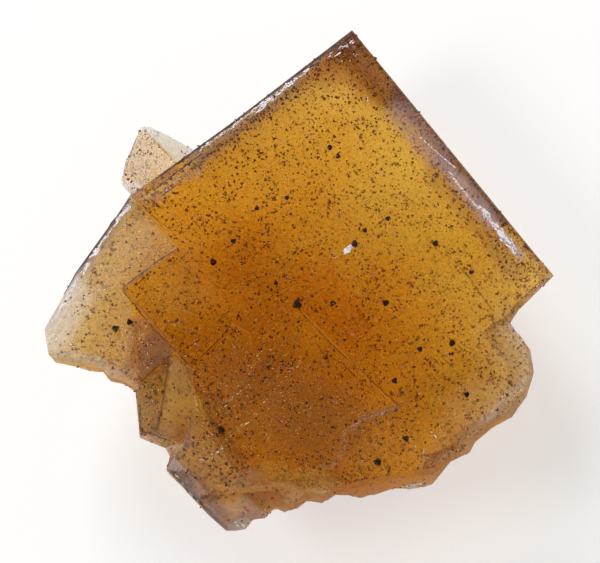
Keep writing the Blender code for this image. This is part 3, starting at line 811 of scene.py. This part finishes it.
def add_shape(name: str, shape: bmesh.types.BMesh, finish: Finish) -> bpy.types.Object:
    """Put a bmesh into the scene as an object, and free it.

    Args:
        name: what the object is called.
        shape: the bmesh.
        finish: its finish.
    Returns:
        The object.
    """
    mesh = bpy.data.meshes.new(name)
    shape.to_mesh(mesh)
    shape.free()
    mesh.materials.append(finish.build())
    return add_object(name, mesh)


def search_tree(mesh: bpy.types.Mesh) -> BVHTree:
    """A search tree of a mesh's faces."""
    shape = bmesh.new()
    shape.from_mesh(mesh)
    tree = BVHTree.FromBMesh(shape)
    shape.free()
    return tree


def rows(items: bpy.types.bpy_prop_collection, name: str) -> np.ndarray:
    """Read a vector that each item of a mesh has.

    Args:
        items: the mesh's vertices or polygons.
        name: the vector's name.
    Returns:
        A row of three numbers for each item.
    """
    values = np.zeros(len(items) * 3)
    items.foreach_get(name, values)
    return values.reshape(-1, 3)


def keep(mesh: bpy.types.Mesh, domain: str, **marks: np.ndarray) -> None:
    """Keep numbers on a mesh.

    Args:
        mesh: the mesh.
        domain: whether they are for each POINT, FACE or CORNER.
        marks: the numbers, by the name they are kept under.
    """
    for name, values in marks.items():
        made = mesh.attributes.new(name, "FLOAT", domain)
        made.data.foreach_set("value", np.asarray(values, np.float32))


@dataclass
class Fluorite:
    """The intergrown mass of fluorite, with finer forms than its solid has.

    longest_above, longest_below: longest edges of faces that look up, and of others.
    upright: upward part of a face's normal past which it counts as looking up when divided.
    level, flank: how closely a face's normal has to follow a cube face's to count as grown.
    margin: width along the part's box that stays free of grains.
    side_crowd, broken_crowd, patch_crowd: how densely grains lie on flanks, breaks and patches.
    room_reach, room_share: farthest depth that is looked for, and share of it that grains use.
    """

    name: str = "fluorite_mass"
    node: str = "fluorite"
    longest_above: float = 0.65
    longest_below: float = 1.4
    passes: int = 9
    upright: float = 0.3
    level: float = 0.85
    flank: float = 0.998
    margin: float = 0.4
    side_crowd: float = 0.4
    broken_crowd: float = 0.25
    patch_crowd: float = 2.2
    room_reach: float = 6.0
    room_share: float = 0.6
    finish: Finish = FluoriteFinish()

    def build(self) -> bpy.types.Object:
        """Make the piece from the solid's own mesh.

        Returns:
            The piece.
        """
        shape = bmesh.new()
        shape.from_mesh(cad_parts[self.node].data)
        bmesh.ops.remove_doubles(shape, verts=shape.verts, dist=0.001 * MM)
        self.cut_borders(shape)
        self.divide(shape)
        piece = add_shape(self.name, shape, self.finish)
        self.mark(piece.data)
        return piece

    def cut_borders(self, shape: bmesh.types.BMesh) -> None:
        """Cut the level face along its sectors' borders, so that they stay sharp."""
        level = LEVEL_FACE * MM
        for sector in SECTORS:
            for start, end in zip(sector.corners, sector.corners[1:] + sector.corners[:1]):
                chosen = [f for f in shape.faces if all(v.co.z > level for v in f.verts)]
                parts = {item for face in chosen for item in (*face.verts, *face.edges, face)}
                across = Vector((end[1] - start[1], start[0] - end[0], 0.0))
                place = (np.array((*start, FACE_HEIGHT)) - ORIGIN) * MM
                bmesh.ops.bisect_plane(shape, geom=list(parts), plane_co=place, plane_no=across)
        bmesh.ops.triangulate(shape, faces=shape.faces)

    def divide(self, shape: bmesh.types.BMesh) -> None:
        """Split edges until none is longer than allowed, shorter where the face looks up."""
        for _ in range(self.passes):
            shape.normal_update()
            long_edges = []
            for edge in shape.edges:
                upward = any(face.normal.z > self.upright for face in edge.link_faces)
                limit = self.longest_above if upward else self.longest_below
                if edge.calc_length() > limit * MM:
                    long_edges.append(edge)
            if not long_edges:
                return
            bmesh.ops.subdivide_edges(shape, edges=long_edges, cuts=1)
            bmesh.ops.triangulate(shape, faces=shape.faces)

    def mark(self, mesh: bpy.types.Mesh) -> None:
        """Keep on the mesh what its finish and the grains ask of each place."""
        normals = rows(mesh.polygons, "normal")
        centres = rows(mesh.polygons, "center") / MM + ORIGIN
        grown = normals[:, 2] > self.level
        for facing in Direction:
            angle = math.radians(facing.value)
            towards = np.array([math.cos(angle), math.sin(angle), 0.0])
            grown |= normals @ towards > self.flank
        upward = normals[:, 2] > 0.1
        low, high = (np.array(corner) / MM + ORIGIN for corner in CAD_BOX)
        within = ((centres > low + self.margin) & (centres < high - self.margin)).all(axis=1)
        self.paint(mesh, upward, centres)
        keep(mesh, "FACE", broken=~grown, top=upward,
             crowd=self.crowd(centres, grown, upward) * within)
        keep(mesh, "POINT", room=self.room_below(mesh))

    def crowd(self, centres: np.ndarray, grown: np.ndarray, upward: np.ndarray) -> np.ndarray:
        """How densely grains lie on each face.

        Args:
            centres: the faces' middles, in outline millimetres.
            grown: whether each is a crystal face.
            upward: whether each looks up.
        Returns:
            A density for each, beside the usual one.
        """
        crowd = np.where(grown, np.where(upward, 1.0, self.side_crowd), self.broken_crowd)
        for sector in SECTORS:
            crowd = np.where(sector.holds(centres), crowd * sector.crowd, crowd)
        for patch in DENSE_PATCHES:
            crowd = np.where((patch.share(centres) > 0.5) & upward, self.patch_crowd, crowd)
        flat = on_face(centres)
        for clump in CLUMPS:
            near = np.linalg.norm(flat - np.array(clump), axis=1) < CLUMP_REACH
            crowd = np.where(near & grown & upward, CLUMP_CROWD, crowd)
        return crowd

    def paint(self, mesh: bpy.types.Mesh, upward: np.ndarray, centres: np.ndarray) -> None:
        """Keep tint, cloud, milk and haze on each corner of each face.

        Args:
            mesh: the mesh.
            upward: for each face, whether it looks up at all.
            centres: the faces' middles, in outline millimetres.
        """
        places = rows(mesh.vertices, "co") / MM + ORIGIN
        shift = drift(places)
        used = np.zeros(len(mesh.loops), np.int32)
        mesh.loops.foreach_get("vertex_index", used)
        owner = np.repeat(np.arange(len(centres)), 3)
        tint = np.ones((len(used), 3))
        milk_and_highlight = np.tile(FLECK_COLOUR, (len(used), 1))
        cloud = np.zeros(len(used))
        haze = np.zeros(len(used))
        for zone in ZONES:
            share = zone.share(places, shift)[used] * upward[owner]
            tint *= 1.0 + share[:, None] * (np.array(zone.tint) - 1.0)
            added = share * zone.cloud
            mixed = added / np.maximum(added + cloud, 1e-6)
            milk_and_highlight += mixed[:, None] * (np.array(zone.milk_and_highlight) - milk_and_highlight)
            cloud = np.maximum(cloud, added)
            haze = np.maximum(haze, share * zone.haze)
        for sector in SECTORS:
            tint *= np.where(sector.holds(centres)[owner][:, None], sector.tint, 1.0)
        keep(mesh, "CORNER", cloud=cloud, haze=haze)
        for name, values in (("tint", tint ** 2), ("milk_and_highlight", milk_and_highlight)):
            made = mesh.attributes.new(name, "FLOAT_COLOR", "CORNER")
            opaque = np.column_stack((values, np.ones(len(values))))
            made.data.foreach_set("color", opaque.astype(np.float32).ravel())

    def room_below(self, mesh: bpy.types.Mesh) -> np.ndarray:
        """Depth of fluorite that grains may use under each point.

        Args:
            mesh: the mesh.
        Returns:
            A depth in metres for each point, along the surface's normal.
        """
        inside = search_tree(mesh)
        room = np.zeros(len(mesh.vertices))
        for number, point in enumerate(mesh.vertices):
            start = point.co - point.normal * 0.02 * MM
            found = inside.ray_cast(start, -point.normal, self.room_reach * MM)
            depth = found[3] if found[3] is not None else self.room_reach * MM
            room[number] = depth * self.room_share
        return room


class Skin:
    """The fluorite's surface, for laying things on."""

    def __init__(self, piece: bpy.types.Object) -> None:
        """Keep a search tree of the piece's faces."""
        self.faces = search_tree(piece.data)

    def place(self, point: np.ndarray, depth: float = 0.0) -> Vector | None:
        """Find the surface under a point of the level face.

        Args:
            point: x and y in outline millimetres.
            depth: how far below the surface to go, in millimetres.
        Returns:
            The place in metres, or None off the specimen.
        """
        start = Vector((*point, FACE_HEIGHT) - ORIGIN) * MM
        way = Vector((0.0, LEAN, -1.0)).normalized()
        found, normal, _, _ = self.faces.ray_cast(start - way * 2.0 * MM, way)
        return found - normal * depth * MM if found is not None else None


@dataclass
class SeamsAndEdgeShade:
    """Thin stained seams in the fluorite, and dark lines of painted shade along its crystal edges,
    as slender prisms at its surface.

    gap: millimetres between a line's rings of corners.
    depth, rise: how deep its middle lies, and how far its upper corner rises from there.
    wander: how far its middle strays to the sides.
    tip, halves: share of the width that it takes at its ends, and least and most elsewhere.
    """

    name: str
    streaks: tuple[Streak, ...]
    gap: float = 0.6
    depth: float = 0.07
    rise: float = 0.056
    wander: float = 0.035
    tip: float = 0.12
    halves: Point = (0.2, 0.6)
    seed: int = 11

    def build(self, skin: Skin, finish: Finish) -> bpy.types.Object:
        """Make the piece.

        Args:
            skin: the surface it lies in.
            finish: its finish.
        Returns:
            The piece.
        """
        shape = bmesh.new()
        luck = np.random.default_rng(self.seed)
        for streak in self.streaks:
            self.add_prism(shape, streak, skin, luck)
        bmesh.ops.recalc_face_normals(shape, faces=shape.faces)
        return add_shape(self.name, shape, finish)

    def add_prism(self, shape: bmesh.types.BMesh, streak: Streak, skin: Skin,
                  luck: np.random.Generator) -> None:
        """Add one seam or dark edge line, diamond-shaped across and pointed at both ends."""
        points, ways = streak.stations(self.gap)
        rise = Vector((0.0, 0.0, self.rise * MM))
        rings: list[list[bmesh.types.BMVert]] = []
        for number, (point, way) in enumerate(zip(points, ways)):
            side = np.array((-way[1], way[0]))
            middle = skin.place(point + side * luck.normal(0.0, self.wander), self.depth)
            if middle is None:
                continue
            share = self.tip if number in (0, len(points) - 1) else luck.uniform(*self.halves)
            out = Vector((*side, 0.0)) * streak.width * share * MM
            rings.append([shape.verts.new(middle + shift) for shift in (out, rise, -out, -rise)])
        for first, second in zip(rings, rings[1:]):
            for k in range(4):
                shape.faces.new((first[k], first[k - 1], second[k - 1], second[k]))
        if len(rings) > 1:
            shape.faces.new(rings[0])
            shape.faces.new(reversed(rings[-1]))


def realize(host: bpy.types.Mesh, group: bpy.types.GeometryNodeTree, name: str,
            settings: dict[str, float | int]) -> bpy.types.Object:
    """Run a node group on a mesh and keep the result as one plain mesh.

    Args:
        host: the mesh it runs on.
        group: the node group.
        name: the piece's name.
        settings: values for the group's inputs, by name.
    Returns:
        The piece.
    """
    carrier = add_object(name + "_carrier", host)
    step = carrier.modifiers.new("strew", "NODES")
    step.node_group = group
    for item in group.interface.items_tree:
        if item.item_type == "SOCKET" and item.name in settings:
            step[item.identifier] = settings[item.name]
    graph = bpy.context.evaluated_depsgraph_get()
    mesh = bpy.data.meshes.new_from_object(carrier.evaluated_get(graph), depsgraph=graph)
    carrier.modifiers.remove(step)
    bpy.data.objects.remove(carrier)
    mesh.name = name
    return add_object(name, mesh)


class Strewing(Tree):
    """A node group that strews small forms over a mesh."""

    def __init__(self, name: str, inputs: Sequence[str]) -> None:
        """Start the group.

        Args:
            name: what it is called.
            inputs: names of its numbers; one called Seed is whole.
        """
        super().__init__(bpy.data.node_groups.new(name, "GeometryNodeTree"))
        face = self.tree.interface
        face.new_socket("Geometry", in_out="OUTPUT", socket_type="NodeSocketGeometry")
        face.new_socket("Geometry", in_out="INPUT", socket_type="NodeSocketGeometry")
        for item in inputs:
            kind = "NodeSocketInt" if item == "Seed" else "NodeSocketFloat"
            face.new_socket(item, in_out="INPUT", socket_type=kind)
        given = self.make("NodeGroupInput")
        self.taken = {item: Socket(self, given.outputs[item]) for item in ("Geometry", *inputs)}

    def named(self, name: str) -> Socket:
        """A number kept on the host's mesh."""
        return self.node("GeometryNodeInputNamedAttribute", {"Name": name}, data_type="FLOAT")

    def chance(self, seed: int) -> Socket:
        """A random number from 0 to 1 for each thing strewn."""
        return self.node("FunctionNodeRandomValue", {"Seed": seed}, output=1, data_type="FLOAT")

    def chances(self, low: Triple, high: Triple, seed: int) -> Socket:
        """A random vector between two others for each thing strewn."""
        return self.node("FunctionNodeRandomValue", {"Min": low, "Max": high, "Seed": seed},
                         data_type="FLOAT_VECTOR")

    def points(self, density: Socket) -> bpy.types.Node:
        """Points spread over the host's mesh, with a given number to the square metre."""
        return self.make("GeometryNodeDistributePointsOnFaces", {
            "Mesh": self.taken["Geometry"], "Density": density, "Seed": self.taken["Seed"]})

    def end(self, points: Socket, form: dict[str, float | int], turn: Socket, scale: Socket,
            material: bpy.types.Material) -> bpy.types.GeometryNodeTree:
        """Put a small cone on each point and make one mesh of them all.

        Args:
            points: the points.
            form: the cone's corners, radii and depth, by the names of its inputs.
            turn: how each one is turned.
            scale: how large each one is.
            material: their material.
        Returns:
            The node group.
        """
        strewn = self.node("GeometryNodeInstanceOnPoints", {
            "Points": points, "Instance": self.node("GeometryNodeMeshCone", form),
            "Rotation": turn, "Scale": scale})
        solid = self.node("GeometryNodeRealizeInstances", {"Geometry": strewn})
        dressed = self.node("GeometryNodeSetMaterial", {"Geometry": solid, "Material": material})
        self.make("NodeGroupOutput", {"Geometry": dressed})
        return self.tree


@dataclass
class Flakes:
    """Chips and frosted cracks in the fluorite's surface, and white flakes that paint highlights and
    glints, strewn along streaks.

    gap: millimetres between the stations of a strip.
    widths: least and most share of a streak's width that its strip takes.
    wander: how far the stations stray, beside the width.
    smallest: size of the smallest flakes beside the largest.
    tilt: how far a flake leans and turns, in radians.
    narrow, wide: least and most length, width and thickness, beside the size.
    """

    name: str
    streaks: tuple[Streak, ...]
    gap: float = 0.5
    widths: Point = (0.25, 1.1)
    wander: float = 0.12
    smallest: float = 0.3
    tilt: Triple = (0.2, 0.2, 0.25)
    narrow: Triple = (0.7, 0.14, 0.5)
    wide: Triple = (1.3, 0.42, 1.0)
    seed: int = 7

    def build(self, skin: Skin, finish: Finish) -> bpy.types.Object:
        """Strew the flakes along strips laid under the streaks.

        Args:
            skin: the surface they lie on.
            finish: their finish.
        Returns:
            One mesh of all the flakes.
        """
        group = self.scatter_tree(finish.build())
        return realize(self.strips(skin), group, self.name, {"Seed": self.seed})

    def strips(self, skin: Skin) -> bpy.types.Mesh:
        """Make the strips, with what each one asks of its flakes."""
        corners: list[Vector] = []
        faces: list[range] = []
        marks: list[tuple[float, ...]] = []
        luck = np.random.default_rng(self.seed)
        for streak in self.streaks:
            points, ways = streak.stations(self.gap)
            across = max(int(streak.width), 1)
            widths = streak.width * luck.uniform(*self.widths, len(points))
            points = points + luck.normal(0.0, self.wander * min(streak.width, 1.0), points.shape)
            grid = [[skin.place(point + np.array((-way[1], way[0])) * width * share)
                     for share in np.linspace(-0.5, 0.5, across + 1)]
                    for point, way, width in zip(points, ways, widths)]
            for row, after, way in zip(grid, grid[1:], ways):
                for k in range(across):
                    quad = (row[k], row[k + 1], after[k + 1], after[k])
                    if any(corner is None for corner in quad):
                        continue
                    faces.append(range(len(corners), len(corners) + 4))
                    corners.extend(quad)
                    marks.append((streak.amount, streak.size, streak.pale,
                                  math.atan2(way[1], way[0])))
        mesh = bpy.data.meshes.new(self.name + "_strips")
        mesh.from_pydata(corners, [], faces)
        crowd, reach, pale, heading = np.array(marks).T
        keep(mesh, "FACE", crowd=crowd, reach=reach, pale=pale, heading=heading)
        return mesh

    def scatter_tree(self, material: bpy.types.Material) -> bpy.types.GeometryNodeTree:
        """Make the group that strews thin four-sided chips along the strips.

        Args:
            material: the chips' material.
        Returns:
            The node group.
        """
        tree = Strewing(self.name, ("Seed",))
        points = tree.points(tree.named("crowd") * (1.0 / MM ** 2))
        luck = tree.chance(1).math("POWER", 2.0)
        size = tree.named("reach") * MM * (self.smallest + luck * (1.0 - self.smallest))
        heading = tree.node("ShaderNodeCombineXYZ", {2: tree.named("heading")})
        tilt = tree.chances(tuple(-angle for angle in self.tilt), self.tilt, 3)
        turn = tree.node("ShaderNodeVectorMath", {0: tilt, 1: heading}, operation="ADD")
        scale = tree.chances(self.narrow, self.wide, 4).scaled(size)
        form = {"Vertices": 4, "Radius Top": 0.6, "Radius Bottom": 1.0, "Depth": 0.1}
        return tree.end(Socket(tree, points.outputs["Points"]), form, turn, scale, material)


@dataclass
class Grains:
    """Fine chalcopyrite grains strewn over and just under the fluorite's faces.

    smallest, largest: lengths of a grain, in millimetres.
    rarity: how much rarer the large ones are.
    deepest: share of the room below a face that they reach down.
    slim, stout: least and most stretch along each axis.
    """

    name: str
    site: Site
    per_square_mm: float = 8.5
    smallest: float = 0.1
    largest: float = 0.5
    rarity: float = 5.0
    deepest: float = 0.6
    slim: float = 0.6
    stout: float = 1.25
    seed: int = 4

    def build(self, host: bpy.types.Object, material: bpy.types.Material) -> bpy.types.Object:
        """Strew the grains.

        Args:
            host: the piece they sit on, with its marks.
            material: their material.
        Returns:
            One mesh of all the grains.
        """
        sizes = {"Per square metre": self.per_square_mm / MM ** 2, "Smallest": self.smallest * MM,
                 "Largest": self.largest * MM, "Deepest": self.deepest, "Seed": self.seed}
        return realize(host.data, self.scatter_tree(tuple(sizes), material), self.name, sizes)

    def scatter_tree(self, inputs: Sequence[str],
                     material: bpy.types.Material) -> bpy.types.GeometryNodeTree:
        """Make the group that strews small truncated sphenoids over a mesh.

        Args:
            inputs: names of the group's inputs.
            material: the grains' material.
        Returns:
            The node group.
        """
        tree = Strewing(self.name, inputs)
        least = tree.taken["Smallest"]
        top = tree.named("top")
        crowd = tree.named("crowd") * (top if self.site is Site.TOP else 1.0 - top)
        clump = tree.node("ShaderNodeTexNoise", {
            "Scale": 0.33 / MM, "Detail": 4.0, "Roughness": 0.72})
        crowd = crowd * (0.35 + clump.step(0.36, 0.68) * 1.3)
        points = tree.points(crowd * tree.taken["Per square metre"])
        size = least + (tree.taken["Largest"] - least) * tree.chance(1).math("POWER", self.rarity)
        depth = (tree.chance(2) * 2.0 - 1.0).math("MAXIMUM", 0.0) * tree.taken["Deepest"]
        depth = depth * tree.named("room") + size * 0.1
        shift = Socket(tree, points.outputs["Normal"]).scaled(depth * -1.0)
        placed = tree.node("GeometryNodeSetPosition", {
            "Geometry": Socket(tree, points.outputs["Points"]), "Offset": shift})
        turn = tree.chances((0.0,) * 3, (math.tau,) * 3, 3)
        scale = tree.chances((self.slim,) * 3, (self.stout,) * 3, 4).scaled(size)
        form = {"Vertices": 3, "Radius Top": 0.16, "Radius Bottom": 0.55, "Depth": 0.75}
        return tree.end(placed, form, turn, scale, material)


@dataclass(frozen=True)
class Softbox:
    """A rectangular light that faces the specimen.

    azimuth: compass angle it stands at, anticlockwise from +X.
    elevation: its height above the horizon, in degrees.
    size: width and height in metres.
    energy: power in watts.
    distance: metres from the specimen.
    """

    name: str
    azimuth: float
    elevation: float
    size: Point
    energy: float
    distance: float = 1.2

    def build(self) -> None:
        """Put the light up."""
        turn, lift = math.radians(self.azimuth), math.radians(self.elevation)
        away = Vector((math.cos(turn) * math.cos(lift), math.sin(turn) * math.cos(lift),
                       math.sin(lift)))
        data = bpy.data.lights.new(self.name, "AREA")
        data.shape = "RECTANGLE"
        data.size, data.size_y = self.size
        data.energy = self.energy
        light = add_object(self.name, data)
        light.location = away * self.distance
        light.rotation_euler = away.to_track_quat("Z", "Y").to_euler()


@dataclass
class Studio:
    """Camera, floor and light: the photograph's view of a specimen on a white sheet.

    distance, sensor: camera's distance in metres and its sensor's width in millimetres.
    centre_px: how far the picture's middle lies from the outlines' origin, in its pixels.
    overhead, horizon: strength of the light from above and from low all round.
    fade: heights between which that light falls off.
    """

    distance: float = 0.8
    sensor: float = 36.0
    mm_per_pixel: float = 0.13
    width_px: float = 600.0
    centre_px: Point = (1.0, -1.5)
    sky: Triple = (1.0, 0.99, 0.985)
    overhead: float = 0.04
    horizon: float = 0.42
    fade: Point = (0.9, 0.6)
    lights: tuple[Softbox, ...] = (Softbox("window", 118.0, 42.0, (0.55, 0.3), 8.5),
                                   Softbox("lamp", 195.0, 52.0, (0.4, 0.4), 5.0))

    def build(self) -> None:
        """Make everything round the specimen."""
        self.add_camera()
        self.add_floor()
        self.add_sky()
        for light in self.lights:
            light.build()
        bpy.context.scene.view_settings.view_transform = "Standard"

    def add_camera(self) -> None:
        """Put the camera where the photograph was taken from."""
        angle = math.radians(VIEW_ELEVATION)
        back = Vector((0.0, -math.cos(angle), math.sin(angle)))
        up = Vector((0.0, math.sin(angle), math.cos(angle)))
        aim = Vector((0.0, -ORIGIN[1], FACE_HEIGHT)) * MM
        pixel = self.mm_per_pixel * MM
        aim += Vector((1.0, 0.0, 0.0)) * self.centre_px[0] * pixel + up * self.centre_px[1] * pixel
        data = bpy.data.cameras.new("camera")
        data.sensor_width = self.sensor
        data.lens = self.sensor * self.distance / (self.width_px * pixel)
        data.clip_end = 10.0
        camera = add_object("camera", data)
        camera.location = aim + back * self.distance
        camera.rotation_euler = (math.radians(90.0 - VIEW_ELEVATION), 0.0, 0.0)
        bpy.context.scene.camera = camera

    def add_floor(self) -> None:
        """Lay a plain pale floor under the specimen."""
        shape = bmesh.new()
        bmesh.ops.create_grid(shape, x_segments=1, y_segments=1, size=1.5)
        bmesh.ops.translate(shape, verts=shape.verts, vec=(0.0, 0.0, -0.05 * MM))
        floor = add_shape("floor", shape, SheetFinish())

    def add_sky(self) -> None:
        """Soft light, strong from low all round and faint from above."""
        world = bpy.data.worlds.new("studio")
        world.use_nodes = True
        tree = Tree(world.node_tree)
        height = tree.node("ShaderNodeSeparateXYZ", {0: tree.coordinates()}, output="Z")
        strength = self.overhead + height.step(*self.fade) * (self.horizon - self.overhead)
        glow = tree.node("ShaderNodeBackground", {"Color": self.sky, "Strength": strength})
        tree.make("ShaderNodeOutputWorld", {"Surface": glow})
        bpy.context.scene.world = world


def report(piece: bpy.types.Object) -> None:
    """Log how many triangles a piece has."""
    piece.data.calc_loop_triangles()
    LOG.info("%s: %d triangles", piece.name, len(piece.data.loop_triangles))


def main() -> None:
    """Build the specimen's looks."""
    logging.basicConfig(level=logging.INFO, format="%(message)s")
    Studio().build()
    fluorite = Fluorite().build()
    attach(fluorite, BODY)
    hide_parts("fluorite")
    report(fluorite)
    dark = ChalcopyriteFinish().build()
    for name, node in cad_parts.items():
        if name.startswith("chalcopyrite"):
            node.data.materials.clear()
            node.data.materials.append(dark)
    skin = Skin(fluorite)
    # The stain finish reused as painted shade for the dark outline along the crystal edges.
    edge_shade_finish = StainFinish("painted edge shade", (0.06, 0.03, 0.03), (0.012, 0.008, 0.01))
    seams = SeamsAndEdgeShade("stained_seams", STAINED_SEAMS).build(skin, StainFinish())
    edges = SeamsAndEdgeShade("painted_edge_shade", PAINTED_EDGE_SHADE).build(skin, edge_shade_finish)
    flakes = Flakes("frost_and_painted_glints", FLAKES_AND_GLINTS).build(skin, FrostAndGlintFinish())
    for piece in (seams, edges, flakes):
        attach(piece, BODY)
        report(piece)
    dust = ChalcopyriteFinish("chalcopyrite dust", tarnish=(0.1, 0.025, 0.012),
                              bright_share=0.66, metallic=0.1, stain=(0.36, 0.075, 0.02))
    dusted = dust.build()
    for name, site in (("fine_grains", Site.TOP), ("side_grains", Site.SIDES)):
        grains = Grains(name, site).build(fluorite, dusted)
        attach(grains, BODY)
        report(grains)


if __name__ == "__main__":
    main()
